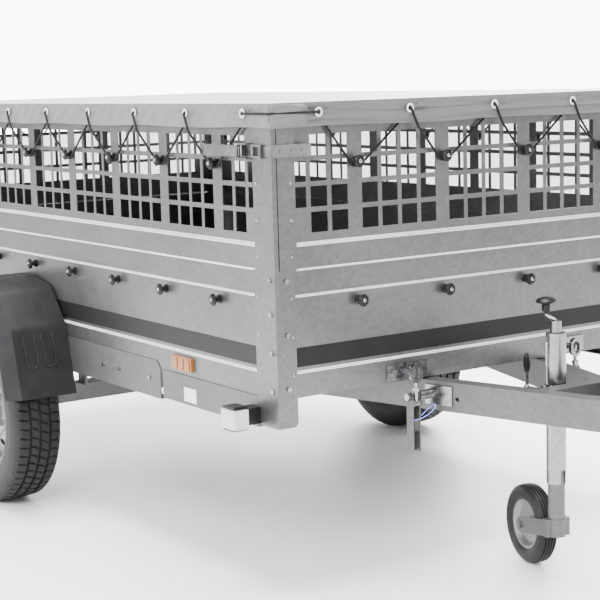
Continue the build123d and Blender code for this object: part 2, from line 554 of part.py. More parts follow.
def make_wheels():
    """Trailing arm, rim, tyre and bolts on the right, mirrored for the left."""
    inner = -HALF - GAP - ARM_THICK
    arm = rod(ARM_EYE, (AXLE_X, inner, AXLE_Z), "y", ARM_THICK)
    arm += rod(ARM_EYE - 4, (WHEEL_X, inner, TYRE_RADIUS), "y", ARM_THICK)
    length = math.hypot(ARM_REACH, ARM_DROP)
    slope = math.degrees(math.atan2(ARM_DROP, ARM_REACH))
    web = Pos((AXLE_X + WHEEL_X) / 2, inner + ARM_THICK / 2, (AXLE_Z + TYRE_RADIUS) / 2)
    arm += web * Rot(0, -slope, 0) * Box(length, ARM_THICK, 48)
    arm += rod(TORSION_BAR / 2, (AXLE_X, inner, AXLE_Z), "y", 180)
    disc = -WHEEL_Y - 18
    stub = inner - disc + 8
    arm += rod(STUB_RADIUS, (WHEEL_X, disc - 8, TYRE_RADIUS), "y", stub)
    arm = single(arm)
    hub = [(STUB_RADIUS + FIT, disc - 12), (40, disc - 12), (40, disc), (74, disc),
           (96, disc - 10), (120, disc - 2), (RIM_RADIUS - 10, disc + 12)]
    half = RIM_WIDTH / 2
    y0, y1 = -WHEEL_Y - half, -WHEEL_Y + half
    well = RIM_RADIUS - 14
    outline = hub + [(well, disc + 12), (well, y0 + 26), (RIM_RADIUS, y0 + 10),
                     (RIM_RADIUS + 14, y0 + 3), (RIM_RADIUS + 14, y0), (RIM_RADIUS + 17, y0),
                     (RIM_RADIUS + 17, y0 + 6), (RIM_RADIUS + 3, y0 + 14), (RIM_RADIUS + 3, y0 + 20),
                     (well + 3, y0 + 30), (well + 3, y1 - 30), (RIM_RADIUS + 3, y1 - 20),
                     (RIM_RADIUS + 3, y1 - 10), (RIM_RADIUS + 17, y1 - 4), (RIM_RADIUS + 17, y1),
                     (RIM_RADIUS + 14, y1), (RIM_RADIUS + 10, y1 - 4), (RIM_RADIUS, y1 - 8),
                     (RIM_RADIUS, y1 - 22), (well, y1 - 32), (well, disc + 16),
                     (RIM_RADIUS - 14, disc + 16), (120, disc + 2), (96, disc - 6), (74, disc + 4),
                     (46, disc + 4), (46, disc + 26), (STUB_RADIUS + FIT, disc + 26)]
    face = make_face(Polyline(*clean(outline), close=True))
    rim = Pos(WHEEL_X, 0, TYRE_RADIUS) * revolve(face, Axis.Y)
    for index in range(12):
        angle = math.radians(30 * index)
        place = (WHEEL_X + 108 * math.cos(angle), disc - 40, TYRE_RADIUS + 108 * math.sin(angle))
        rim -= rod(11, place, "y", 80)
    shank = 6.0
    bolts = []
    for index in range(WHEEL_BOLTS):
        angle = math.radians(45 + 360 / WHEEL_BOLTS * index)
        x = WHEEL_X + BOLT_CIRCLE * math.cos(angle)
        z = TYRE_RADIUS + BOLT_CIRCLE * math.sin(angle)
        rim -= rod(shank, (x, disc - 20, z), "y", 40)
        bolts.append(rod(shank, (x, disc - 2, z), "y", 14) + rod(9.5, (x, disc - 12, z), "y", 12))
    rim = single(rim)
    bead, crown, wide = RIM_RADIUS + 3, TYRE_RADIUS, TYRE_WIDTH / 2
    ends = half - 14
    tyre = [(bead, -ends), (bead + 14, -ends + 2), (bead + 14, -half - 2), (bead + 34, -wide),
            (bead + 60, -wide), (crown - 14, -wide + 6), (crown - 3, -wide + 20), (crown, -wide + 36)]
    tyre += [(r, -y) for r, y in reversed(tyre)]
    inside = [(bead, ends - 8), (bead + 30, wide - 14), (bead + 62, wide - 14), (crown - 14, wide - 34)]
    inside += [(r, -y) for r, y in reversed(inside)]
    face = make_face(Polyline(*tyre, *inside, close=True))
    tyre = Pos(WHEEL_X, -WHEEL_Y, TYRE_RADIUS) * revolve(face, Axis.Y)
    tyre = single(tyre - rim)
    for side, place in (("right", lambda s: s), ("left", mirrored)):
        add(f"trailing_arm_{side}", [place(arm)])
        add(f"wheel_rim_{side}", [place(piece) for piece in [rim] + bolts])
        add(f"tyre_{side}", [place(tyre)])


def clean(points):
    """Drop repeated points of an outline."""
    return [p for i, p in enumerate(points) if p != points[i - 1]]


# ---- drawbar ----
PIVOT_X = BED_FRONT - BAR_REAR


def bar_centre(x):
    """How far the centre line of an arm lies from the middle of the trailer."""
    return (BAR_MEET - (x - BED_FRONT)) * BAR_SLOPE


def arm_box(width, height, start, end):
    """A bar on the centre line of the right arm between two places along X."""
    slant = math.degrees(math.atan(BAR_SLOPE))
    length = (end - start) / math.cos(math.radians(slant))
    mid = (start + end) / 2
    place = Pos(mid, -bar_centre(mid), BAR_TOP - BAR_HEIGHT / 2) * Rot(0, 0, slant)
    return place * Box(length, width, height)


def make_drawbar():
    start, end = PIVOT_X + PIVOT_BUSH, BED_FRONT + BAR_END
    arm = arm_box(BAR_WIDTH, BAR_HEIGHT, start, end + 40)
    arm -= arm_box(BAR_WIDTH - 2 * BAR_WALL, BAR_HEIGHT - 2 * BAR_WALL, start + 30, end + 60)
    arm &= box(start - 30, end, -HALF, 0, 0, 999)
    yc = -bar_centre(PIVOT_X)
    half = PIVOT_BUSH_LENGTH / 2
    bush = rod(PIVOT_BUSH, (PIVOT_X, yc - half, PIVOT_RISE), "y", 2 * half)
    bush += box(PIVOT_X, start + 20, yc - half, yc + half, PIVOT_RISE - 16, PIVOT_RISE + 18)
    arm += bush
    arm -= rod(PIVOT_RADIUS + FIT, (PIVOT_X, yc - 80, PIVOT_RISE), "y", 160)
    hole = BED_FRONT + 95
    arm -= rod(5, (hole, -bar_centre(hole) - 40, BAR_TOP - 40), "y", 40)
    arm = single(arm)
    add("drawbar_arm_right", [arm])
    add("drawbar_arm_left", [mirrored(arm)])
    x0 = BED_FRONT + BRACE_BACK
    brace = box(x0, x0 + BRACE_WIDTH, -120, 120, BAR_TOP - BRACE_HEIGHT, BAR_TOP)
    solid = arm_box(BAR_WIDTH, BAR_HEIGHT, start, end)
    brace = brace - solid - mirrored(solid)
    brace = max(brace.solids(), key=lambda s: s.volume)
    brace -= box(x0 + 3, x0 + BRACE_WIDTH - 3, -200, 200, BAR_TOP - BRACE_HEIGHT - 1, BAR_TOP - 3)
    add("drawbar_cross_brace", [single(brace)])
    make_coupling()
    make_tilt_latch(solid)
    make_jockey(x0)


def make_coupling():
    """The ball coupling on the point of the drawbar, and the handle that opens it."""
    ball = BED_FRONT + BALL_AHEAD
    half, rear = HEAD_WIDTH / 2, BED_FRONT + BAR_END - 130
    mouth = BED_FRONT + BAR_END + 6
    low = BALL_HEIGHT - 20
    head = box(mouth, ball, -half, half, low, HEAD_TOP) + rod(NOSE, (ball, 0, low), "z", HEAD_TOP - low)
    head = fillet(head.edges().group_by(Axis.Z)[-1], 12)
    hollow = box(mouth - 1, ball, -half + HEAD_WALL, half - HEAD_WALL, low - 1, HEAD_TOP - HEAD_WALL)
    head -= hollow
    socket = BALL_RADIUS + BALL_FIT
    head += rod(socket + SOCKET_WALL, (ball, 0, low), "z", HEAD_TOP - HEAD_WALL - low)
    head -= rod(socket, (ball, 0, low - 1), "z", 21)
    head -= Pos(ball, 0, BALL_HEIGHT) * Sphere(socket)
    head += box(rear, mouth + 30, -half, half, BAR_TOP, BAR_TOP + 8)
    head += box(mouth, mouth + HEAD_WALL, -half, half, low, HEAD_TOP - 6)
    hinge_x, hinge_z = ball - 62, HEAD_TOP + 14
    for y in (-16, 11):
        head += box(hinge_x - 12, hinge_x + 12, y, y + 5, HEAD_TOP - 3, hinge_z + 8)
    head -= rod(5, (hinge_x, -30, hinge_z), "y", 60)
    for x in (rear + 25, rear + 85):
        for y in (-26, 26):
            head -= rod(6.5, (x, y, BAR_TOP - 20), "z", 40)
    add("coupling_head", [single(head)])
    pin = rod(5, (hinge_x, -17, hinge_z), "y", 34)
    pin += rod(8, (hinge_x, -20, hinge_z), "y", 4) + rod(8, (hinge_x, 16, hinge_z), "y", 4)
    bolts = []
    for x in (rear + 25, rear + 85):
        for y in (-26, 26):
            bolts.append(rod(6.4, (x, y, BAR_TOP), "z", 10)
                         + Pos(x, y, BAR_TOP + 8) * extrude(RegularPolygon(11, 6), 8))
    add("coupling_bolts", bolts + [single(pin)])
    handle = box(hinge_x - 150, hinge_x - 4, -9.5, 9.5, hinge_z + 6, hinge_z + 12)
    handle += rod(12, (hinge_x, -9.5, hinge_z), "y", 19)
    handle += box(hinge_x - 172, hinge_x - 130, -22, 22, hinge_z + 4, hinge_z + 18)
    handle = handle - rod(5 + FIT, (hinge_x, -30, hinge_z), "y", 60)
    add("coupling_handle", [single(handle)])


TILT_X, TILT_Z, TILT_OUT, TILT_WIDTH = BED_FRONT + 24, 450.0, 80.5, 24.0
TILT_Y = -bar_centre(TILT_X) - TILT_OUT


def make_tilt_latch(arm):
    """The latch that holds the bed down: boss on the arm, hanging lever, eye and keeper."""
    half = TILT_WIDTH / 2
    boss = rod(12, (TILT_X, TILT_Y + half + 4, TILT_Z), "y", 70) - arm
    boss = max(boss.solids(), key=lambda s: -s.center().Y)
    boss = boss + rod(6, (TILT_X, TILT_Y - half - 5, TILT_Z), "y", 50)
    boss += rod(9, (TILT_X, TILT_Y - half - 9, TILT_Z), "y", 6)
    plate = box(TILT_X - 14, TILT_X + 60, TILT_Y, TILT_Y + 200, TILT_Z - 26, TILT_Z + 22)
    shifted = Pos(0, -5, 0) * arm
    plate = (plate & shifted) - arm
    boss = boss + max(plate.solids(), key=lambda s: s.volume)
    add("tilt_latch_bosses", pair(single(boss)))
    link_x, link_z, drop = TILT_X + 12, TILT_Z - 15, 137.0
    lever = box(TILT_X - 12, TILT_X - 9, TILT_Y - half, TILT_Y + half, TILT_Z - drop, TILT_Z + 4)
    for y in (TILT_Y - half, TILT_Y + half - 3):
        cheek = box(TILT_X - 12, TILT_X + 12, y, y + 3, TILT_Z - drop, TILT_Z)
        cheek += rod(12, (TILT_X, y, TILT_Z), "y", 3) + rod(9, (link_x, y, link_z), "y", 3)
        lever += cheek
    lever -= rod(6 + FIT, (TILT_X, TILT_Y - 30, TILT_Z), "y", 60)
    lever += rod(4, (link_x, TILT_Y - half, link_z), "y", TILT_WIDTH)
    lever -= box(TILT_X - 20, TILT_X - 6, TILT_Y - 6, TILT_Y + 6, TILT_Z - 90, TILT_Z - 60)
    lever = single(lever)
    link = rod(7.5, (link_x, TILT_Y - half + 4, link_z), "y", TILT_WIDTH - 8)
    link += rod(5, (link_x, TILT_Y, link_z), "z", 56)
    link = link + Pos(link_x, TILT_Y, link_z + 30) * extrude(RegularPolygon(9, 6), 9)
    link -= rod(4 + FIT, (link_x, TILT_Y - 20, link_z), "y", 40)
    ring = Plane.YZ * Rot(0, 0, 90) * (SlotOverall(48, 36) - SlotOverall(32, 22))
    eye = link_z + 74
    ring = Pos(link_x - 5, TILT_Y, eye) * extrude(ring, amount=10)
    link += ring
    link = single(link)
    for side, place in (("right", lambda s: s), ("left", mirrored)):
        add(f"tilt_latch_lever_{side}", [place(lever)])
        add(f"tilt_latch_eye_{side}", [place(link)])
    face = BED_FRONT - LOW_BAND
    reach = link_x - 15 - face
    keeper = box(face, face + 5, TILT_Y - 62, TILT_Y + 62, eye - 18, eye + 22)
    keeper += rod(8, (face, TILT_Y, eye), "x", reach) + rod(10, (face + reach, TILT_Y, eye), "x", 6)
    for y in (TILT_Y - 44, TILT_Y + 44):
        keeper += rod(8, (face, y, eye + 2), "x", 12)
    add("tilt_keepers", pair(single(keeper)))


def make_jockey(brace_x):
    """The jockey wheel: clamp, outer tube, crank, nut, swivelling leg and wheel."""
    x, tube = JOCKEY_X, JOCKEY_TUBE / 2
    low, high = BAR_TOP - 56, BAR_TOP - 6
    clamp = rod(brace_x - x, (x, 0, low), "z", high - low)
    clamp += box(x, brace_x, -22, 22, high - 32, high)
    clamp += rod(13, (x - tube - 22, 0, high - 22), "x", 26)
    clamp -= rod(tube + 0.4, (x, 0, low - 1), "z", high - low + 2)
    clamp -= rod(5 + FIT, (x - tube - 30, 0, high - 22), "x", 40)
    clamp = max(clamp.solids(), key=lambda s: s.volume)
    add("jockey_clamp", [clamp])
    screw_x, screw_z = x - tube, high - 22
    screw = rod(5, (screw_x - 84, 0, screw_z), "x", 83.5)
    screw += rod(4.5, (screw_x - 79, 0, screw_z), "z", 40) + Pos(screw_x - 79, 0, screw_z) * Sphere(8)
    grip = [(0, 38), (5.5, 38), (8.5, 50), (9, 62), (7, 76), (3.5, 85), (0, 86)]
    grip = revolve(Plane.XZ * make_face(Polyline(*grip, close=True)), Axis.Z)
    grip = Pos(screw_x - 79, 0, screw_z) * grip - rod(4.5, (screw_x - 79, 0, screw_z), "z", 40)
    add("clamp_handle", [single(screw), single(grip)])
    bore = tube - JOCKEY_WALL
    outer = rod(tube, (x, 0, JOCKEY_BOTTOM), "z", JOCKEY_TOP - JOCKEY_BOTTOM)
    outer -= rod(bore, (x, 0, JOCKEY_BOTTOM - 1), "z", JOCKEY_TOP - JOCKEY_BOTTOM - 5)
    outer -= rod(SPINDLE / 2 + 0.4, (x, 0, JOCKEY_TOP - 20), "z", 40)
    outer -= box(x + 10, x + 40, -7, 7, JOCKEY_BOTTOM - 1, JOCKEY_BOTTOM + 34)
    add("jockey_outer_tube", [single(outer)])
    knob = [(0, 51), (10.5, 51), (10.5, 67), (24, 72), (25.5, 76), (20, 82), (10, 85), (0, 86)]
    knob = revolve(Plane.XZ * make_face(Polyline(*knob, close=True)), Axis.Z)
    throw = Pos(x - CRANK_THROW * 0.85, -CRANK_THROW * 0.5, JOCKEY_TOP)
    knob = throw * knob - throw * rod(CRANK_ROD / 2, (0, 0, 0), "z", 72)
    add("jockey_crank", [crank(x), single(knob)])
    leg = LEG_TUBE / 2
    nut = rod(leg - 0.3, (x, 0, LEG_TOP + 0.5), "z", 14) - rod(SPINDLE / 2 + 0.35, (x, 0, 0), "z", 999)
    nut += rod(leg - JOCKEY_WALL - 0.4, (x, 0, LEG_TOP - 16), "z", 17) - rod(
        SPINDLE / 2 + 0.35, (x, 0, 0), "z", 999)
    add("jockey_nut", [single(nut)])
    tube_in = rod(leg, (x, 0, LEG_BOTTOM), "z", LEG_TOP - LEG_BOTTOM)
    hub = JOCKEY_WHEEL
    half = JOCKEY_TYRE_WIDTH / 2 + 3
    top = LEG_BOTTOM + FORK_HEIGHT
    rise = LEG_BOTTOM + FORK_HEIGHT / 2 - hub
    slope = math.degrees(math.atan2(rise, JOCKEY_TRAIL))
    length = math.hypot(rise, JOCKEY_TRAIL)
    plate = Rot(0, -slope, 0) * Box(length, 4, FORK_HEIGHT - 4)
    fork = rod(leg + 2, (x, 0, LEG_BOTTOM), "z", FORK_HEIGHT)
    for y in (-half - 4, half):
        fork += Pos(x - JOCKEY_TRAIL / 2, y + 2, hub + rise / 2) * plate
        fork += rod(FORK_HEIGHT / 2 - 2, (x - JOCKEY_TRAIL, y, hub), "y", 4)
        fork += box(x - 10, x + 8, min(y, 0), max(y + 4, 0), LEG_BOTTOM, top)
    fork += tube_in
    fork -= rod(leg - JOCKEY_WALL, (x, 0, LEG_BOTTOM - 1), "z", 500)
    fork += rod(6, (x - JOCKEY_TRAIL, -half - 9, hub), "y", 2 * half + 18)
    for y in (-half - 9, half + 4):
        fork += rod(9, (x - JOCKEY_TRAIL, y, hub), "y", 5)
    swivel = Pos(x, 0, 0) * Rot(0, 0, JOCKEY_SWIVEL) * Pos(-x, 0, 0)
    add("jockey_leg", [swivel * single(fork)])
    rim = [(6 + FIT, -24), (14, -24), (14, -8), (46, -8), (58, -19), (62, -19), (62, 19), (58, 19),
           (46, -4), (14, -4), (14, 24), (6 + FIT, 24)]
    rim = revolve(make_face(Polyline(*rim, close=True)), Axis.Y)
    wide = JOCKEY_TYRE_WIDTH / 2
    tyre = [(62, -19), (74, -wide), (88, -wide), (98, -15), (100, -7), (100, 7), (98, 15),
            (88, wide), (74, wide), (62, 19)]
    tyre = revolve(make_face(Polyline(*tyre, close=True)), Axis.Y)
    place = swivel * Pos(x - JOCKEY_TRAIL, 0, hub)
    add("jockey_rim", [place * single(rim)])
    add("jockey_tyre", [place * single(tyre)])


def crank(x):
    """The screw spindle with its cap and the bent rod up to the knob."""
    spindle = rod(SPINDLE / 2, (x, 0, 240), "z", JOCKEY_TOP - 239)
    spindle += rod(13.5, (x, 0, JOCKEY_TOP + 0.5), "z", 28)
    bend = (x - CRANK_THROW * 0.85, -CRANK_THROW * 0.5)
    path = FilletPolyline((x, 0, JOCKEY_TOP + 20), (x, 0, JOCKEY_TOP + 30), (*bend, JOCKEY_TOP + 42),
                          (*bend, JOCKEY_TOP + 68), radius=4.4)
    section = Plane(origin=path @ 0, z_dir=path % 0) * Circle(CRANK_ROD / 2)
    return single(spindle + sweep(section, path))


def make_fasteners():
    """Bolt heads on the posts and sill plates."""
    heads = []
    y = -HALF

    def head(place, axis):
        turn = {"x": Rot(0, 90, 0), "y": Rot(90, 0, 0)}[axis]
        return Pos(*place) * turn * extrude(RegularPolygon(6.5, 6), 5)

    for z in (WALL_BOTTOM + 20, WALL_BOTTOM + 110, WALL_BOTTOM + 200, WALL_TOP - 20):
        heads += four(head((BED_FRONT - 18, y, z), "y"))
    for z in (WALL_BOTTOM + 24, WALL_BOTTOM + 150, WALL_TOP - 24):
        heads += pair(head((BED_FRONT, y + 30, z), "x"))
    for x in (BED_FRONT - 779, BED_FRONT - 871, BED_FRONT - 610, BED_FRONT - 1740):
        heads += pair(head((x, y, AXLE_SILL_TOP - 50), "y"))
    add("frame_bolts", heads)


make_walls()
make_posts()
make_floor()
make_sills()
make_hooks()
make_tailgate()
make_cover()
make_lamps()
make_latches()
make_mudguard()
make_axle()
make_wheels()
make_drawbar()
make_fasteners()

os.makedirs("parts", exist_ok=True)
low, high = [1e9] * 3, [-1e9] * 3
for name, solids in nodes.items():
    export_step(Compound(solids), f"parts/{name}.step")
    bounds = Compound(solids).bounding_box()
    low = [min(a, b) for a, b in zip(low, bounds.min)]
    high = [max(a, b) for a, b in zip(high, bounds.max)]
print(len(nodes), "nodes", [round(v, 2) for v in low], [round(v, 2) for v in high])
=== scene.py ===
import math

import bmesh
import bpy
from mathutils import Matrix, Vector


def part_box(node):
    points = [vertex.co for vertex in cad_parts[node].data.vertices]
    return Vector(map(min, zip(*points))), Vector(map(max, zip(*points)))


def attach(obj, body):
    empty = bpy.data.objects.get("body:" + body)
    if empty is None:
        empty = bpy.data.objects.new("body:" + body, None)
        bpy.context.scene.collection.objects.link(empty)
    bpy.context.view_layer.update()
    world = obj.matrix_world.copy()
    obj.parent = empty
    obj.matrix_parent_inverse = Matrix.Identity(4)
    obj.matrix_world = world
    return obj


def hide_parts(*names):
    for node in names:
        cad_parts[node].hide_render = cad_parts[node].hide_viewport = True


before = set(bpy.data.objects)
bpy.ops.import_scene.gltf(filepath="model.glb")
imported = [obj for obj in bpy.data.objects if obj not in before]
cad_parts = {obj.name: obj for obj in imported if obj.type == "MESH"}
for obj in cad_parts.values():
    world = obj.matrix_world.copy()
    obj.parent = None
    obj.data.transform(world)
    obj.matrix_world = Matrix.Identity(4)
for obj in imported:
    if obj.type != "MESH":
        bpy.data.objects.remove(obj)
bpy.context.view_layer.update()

# ---- places and sizes, in metres, read from the frame or shared with the CAD model ----
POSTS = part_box("lower_corner_posts")
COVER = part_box("cover_sheet")
REAR, FRONT, HALF = POSTS[0].x, POSTS[1].x, POSTS[1].y
WALL_BOTTOM, WALL_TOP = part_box("side_wall_right")[0].z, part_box("side_wall_right")[1].z
LENGTH, WIDTH = FRONT - REAR, 2 * HALF
MID_BAND = 0.008                 # how far the striped band lies behind the posts
SIDE_FIRST_HOOK, END_FIRST_HOOK, EYELET_LEAD, EYELET_DROP = 0.257, 0.2415, 0.111, 0.024
SIDE_PITCH = (LENGTH - 2 * SIDE_FIRST_HOOK) / 7
END_PITCH = (WIDTH - 2 * END_FIRST_HOOK) / 3
COVER_DROP = COVER[1].z - COVER[0].z
TYRE_RADIUS, RIM_EDGE = 0.274, 0.168
WHEEL_X = (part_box("tyre_right")[0].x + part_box("tyre_right")[1].x) / 2
WHEEL_Y = (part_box("tyre_left")[0].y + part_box("tyre_left")[1].y) / 2
JOCKEY_SWIVEL = math.radians(-14.0)


# ---- materials ----
def new_material(name):
    material = bpy.data.materials.new(name)
    material.use_nodes = True
    nodes = material.node_tree.nodes
    return material, nodes, material.node_tree.links, nodes["Principled BSDF"]


def noise(nodes, links, scale, detail=4.0, stretch=None):
    """A noise texture in the object's own metres, stretched along an axis if asked."""
    coords = nodes.new("ShaderNodeTexCoord")
    texture = nodes.new("ShaderNodeTexNoise")
    texture.inputs["Scale"].default_value = scale
    texture.inputs["Detail"].default_value = detail
    source = coords.outputs["Object"]
    if stretch:
        mapping = nodes.new("ShaderNodeMapping")
        mapping.inputs["Scale"].default_value = stretch
        links.new(source, mapping.inputs["Vector"])
        source = mapping.outputs["Vector"]
    links.new(source, texture.inputs["Vector"])
    return texture


def ramp(nodes, links, source, low, high, start=0.3, end=0.7):
    """Turn a value into a colour between two."""
    node = nodes.new("ShaderNodeValToRGB")
    node.color_ramp.elements[0].position, node.color_ramp.elements[1].position = start, end
    node.color_ramp.elements[0].color = (*low, 1)
    node.color_ramp.elements[1].color = (*high, 1)
    links.new(source, node.inputs["Fac"])
    return node.outputs["Color"]


def bump(nodes, links, shader, source, strength, distance):
    node = nodes.new("ShaderNodeBump")
    node.inputs["Strength"].default_value = strength
    node.inputs["Distance"].default_value = distance
    links.new(source, node.inputs["Height"])
    links.new(node.outputs["Normal"], shader.inputs["Normal"])


def galvanised(name, dark, light, metallic, roughness):
    """Hot-dip zinc: faint crystals, soft clouds and a fine grain."""
    material, nodes, links, shader = new_material(name)
    coords = nodes.new("ShaderNodeTexCoord")
    cells = nodes.new("ShaderNodeTexVoronoi")
    cells.inputs["Scale"].default_value = 95
    links.new(coords.outputs["Object"], cells.inputs["Vector"])
    clouds = noise(nodes, links, 5, 5)
    mix = nodes.new("ShaderNodeMix")
    mix.data_type = "FLOAT"
    mix.inputs["Factor"].default_value = 0.35
    links.new(clouds.outputs["Fac"], mix.inputs["A"])
    links.new(cells.outputs["Color"], mix.inputs["B"])
    links.new(ramp(nodes, links, mix.outputs["Result"], dark, light), shader.inputs["Base Color"])
    rough = nodes.new("ShaderNodeMapRange")
    rough.inputs["To Min"].default_value = roughness - 0.06
    rough.inputs["To Max"].default_value = roughness + 0.08
    links.new(mix.outputs["Result"], rough.inputs["Value"])
    links.new(rough.outputs["Result"], shader.inputs["Roughness"])
    shader.inputs["Metallic"].default_value = metallic
    bump(nodes, links, shader, noise(nodes, links, 900, 2).outputs["Fac"], 0.05, 0.0004)
    return material


def moulded(name, dark, light, roughness, grain, height, metallic=0.0, shine=0.22):
    """Moulded plastic or rubber with a fine surface grain."""
    material, nodes, links, shader = new_material(name)
    clouds = noise(nodes, links, 14, 4)
    links.new(ramp(nodes, links, clouds.outputs["Fac"], dark, light), shader.inputs["Base Color"])
    shader.inputs["Roughness"].default_value = roughness
    shader.inputs["Metallic"].default_value = metallic
    shader.inputs["Specular IOR Level"].default_value = shine
    bump(nodes, links, shader, noise(nodes, links, grain, 3).outputs["Fac"], 0.35, height)
    return material


def tarpaulin():
    """Coated fabric: a fine woven grid under a soft sheen, with faint handling creases."""
    material, nodes, links, shader = new_material("tarpaulin_pvc")
    clouds = noise(nodes, links, 6, 6)
    colour = ramp(nodes, links, clouds.outputs["Fac"], (0.088, 0.091, 0.092), (0.118, 0.121, 0.122))
    links.new(colour, shader.inputs["Base Color"])
    shader.inputs["Roughness"].default_value = 0.42
    shader.inputs["Sheen Weight"].default_value = 0.15
    coords = nodes.new("ShaderNodeTexCoord")
    weave = nodes.new("ShaderNodeTexChecker")
    weave.inputs["Scale"].default_value = 900
    links.new(coords.outputs["Object"], weave.inputs["Vector"])
    creases = noise(nodes, links, 9, 8, (1, 1, 6))
    add = nodes.new("ShaderNodeMath")
    add.operation = "MULTIPLY_ADD"
    add.inputs[1].default_value = 0.04
    links.new(weave.outputs["Fac"], add.inputs[0])
    links.new(creases.outputs["Fac"], add.inputs[2])
    bump(nodes, links, shader, add.outputs["Value"], 0.5, 0.004)
    return material


def plywood():
    """Dark film-faced board with a pressed mesh."""
    material, nodes, links, shader = new_material("film_faced_board")
    clouds = noise(nodes, links, 10, 5, (1, 6, 1))
    colour = ramp(nodes, links, clouds.outputs["Fac"], (0.006, 0.005, 0.0045), (0.014, 0.012, 0.011))
    links.new(colour, shader.inputs["Base Color"])
    shader.inputs["Roughness"].default_value = 0.5
    coords = nodes.new("ShaderNodeTexCoord")
    mesh = nodes.new("ShaderNodeTexVoronoi")
    mesh.inputs["Scale"].default_value = 260
    links.new(coords.outputs["Object"], mesh.inputs["Vector"])
    bump(nodes, links, shader, mesh.outputs["Distance"], 0.4, 0.0006)
    return material


def lens(name, colour, transmission):
    """Clear or coloured lamp plastic with fine vertical optics."""
    material, nodes, links, shader = new_material(name)
    clouds = noise(nodes, links, 30, 2)
    deep = tuple(c * 0.8 for c in colour)
    links.new(ramp(nodes, links, clouds.outputs["Fac"], deep, colour), shader.inputs["Base Color"])
    shader.inputs["Roughness"].default_value = 0.12
    shader.inputs["Coat Weight"].default_value = 0.6
    shader.inputs["Transmission Weight"].default_value = transmission
    coords = nodes.new("ShaderNodeTexCoord")
    flutes = nodes.new("ShaderNodeTexWave")
    flutes.inputs["Scale"].default_value = 90
    links.new(coords.outputs["Object"], flutes.inputs["Vector"])
    bump(nodes, links, shader, flutes.outputs["Fac"], 0.3, 0.001)
    return material


STEEL = galvanised("galvanised_sheet", (0.115, 0.119, 0.118), (0.155, 0.159, 0.157), 0.8, 0.33)
FRAME = galvanised("galvanised_frame", (0.10, 0.103, 0.098), (0.135, 0.139, 0.132), 0.7, 0.42)
ZINC = galvanised("bright_zinc", (0.19, 0.196, 0.2), (0.3, 0.306, 0.31), 0.97, 0.2)
# ledge bends: the same zinc sheet as the walls, given a near-white colour as a painted highlight
PAINTED_HIGHLIGHT_LEDGE = galvanised("bent_edge_painted_highlight", (0.62, 0.63, 0.63), (0.75, 0.76, 0.76), 0.35, 0.4)
RIM = galvanised("silver_rim", (0.2, 0.205, 0.21), (0.25, 0.255, 0.26), 0.7, 0.34)
COVER_CLOTH = tarpaulin()
BOARD = plywood()
BLACK = moulded("black_plastic", (0.004, 0.004, 0.0045), (0.008, 0.008, 0.0085), 0.32, 700, 0.0005)
GUARD = moulded("guard_plastic", (0.008, 0.0083, 0.009), (0.014, 0.0145, 0.0155), 0.42, 1100, 0.0008)
RUBBER = moulded("tyre_rubber", (0.007, 0.007, 0.007), (0.014, 0.0135, 0.013), 0.5, 500, 0.0008)
CORD = moulded("elastic_cord", (0.003, 0.003, 0.003), (0.007, 0.007, 0.007), 0.6, 1600, 0.001)
STRIPE = moulded("grey_stripe", (0.010, 0.0105, 0.011), (0.013, 0.0135, 0.014), 0.42, 300, 0.0002, 0.3)
WHITE = moulded("white_label", (0.7, 0.7, 0.7), (0.8, 0.8, 0.8), 0.45, 400, 0.0002)
BLUE = moulded("blue_tie", (0.12, 0.16, 0.55), (0.2, 0.26, 0.7), 0.4, 400, 0.0002)
AMBER = lens("amber_lens", (0.30, 0.085, 0.001), 0.0)
RED = lens("red_lens", (0.6, 0.02, 0.02), 0.1)
CLEAR = lens("clear_lens", (0.82, 0.83, 0.84), 0.35)

NODE_MATERIALS = {
    "floor_board": BOARD, "cord_hooks": BLACK, "tailgate_hooks": BLACK, "cover_cord": CORD,
    "marker_lamp_arms": BLACK, "marker_lamps": CLEAR, "side_reflectors": AMBER, "rear_lamps": RED,
    "mudguard_right": GUARD, "mudguard_left": GUARD, "coupling_handle": BLACK,
    "wheel_rim_right": RIM, "wheel_rim_left": RIM, "jockey_rim": RIM,
}
ZINC_NODES = ("corner_latches", "tilt_pivot_pins", "tilt_keepers", "frame_bolts", "coupling_head",
              "tailgate_fittings", "tailgate_hinge_pins", "coupling_bolts", "tilt_latch_bosses",
              "jockey_clamp", "jockey_outer_tube", "clamp_handle", "jockey_crank", "jockey_nut",
              "tilt_latch_eye_right", "tilt_latch_eye_left", "latch_lever_front_right",
              "latch_lever_front_left", "latch_lever_rear_right", "latch_lever_rear_left")
SHEET_NODES = ("side_wall_right", "side_wall_left", "front_wall", "tailgate_panel",
               "lattice_right", "lattice_left", "lattice_front", "lattice_rear",
               "lower_corner_posts", "upper_corner_posts")


# plastic grips: the part of these nodes above a height
GRIPS = {"jockey_crank": 0.6532, "clamp_handle": 0.4915}


def finish_nodes():
    """Give every CAD node its material."""
    for name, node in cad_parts.items():
        material = NODE_MATERIALS.get(name)
        if material is None:
            material = ZINC if name in ZINC_NODES else STEEL if name in SHEET_NODES else FRAME
        node.data.materials.clear()
        node.data.materials.append(material)
        grip = GRIPS.get(name)
        if grip:
            node.data.materials.append(BLACK)
            for polygon in node.data.polygons:
                if (node.matrix_world @ polygon.center).z > grip:
                    polygon.material_index = 1


# ---- building pieces ----
def piece(name, mesh, body, material, smooth=30):
    """A new visual piece that rides on a body."""
    made = bpy.data.objects.new(name, mesh)
    bpy.context.scene.collection.objects.link(made)
    mesh.materials.append(material)
    if smooth:
        for polygon in mesh.polygons:
            polygon.use_smooth = True
        mesh.set_sharp_from_angle(angle=math.radians(smooth))
    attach(made, body)
    return made


def finished(work, name):
    mesh = bpy.data.meshes.new(name)
    bmesh.ops.recalc_face_normals(work, faces=work.faces)
    work.to_mesh(mesh)
    work.free()
    return mesh


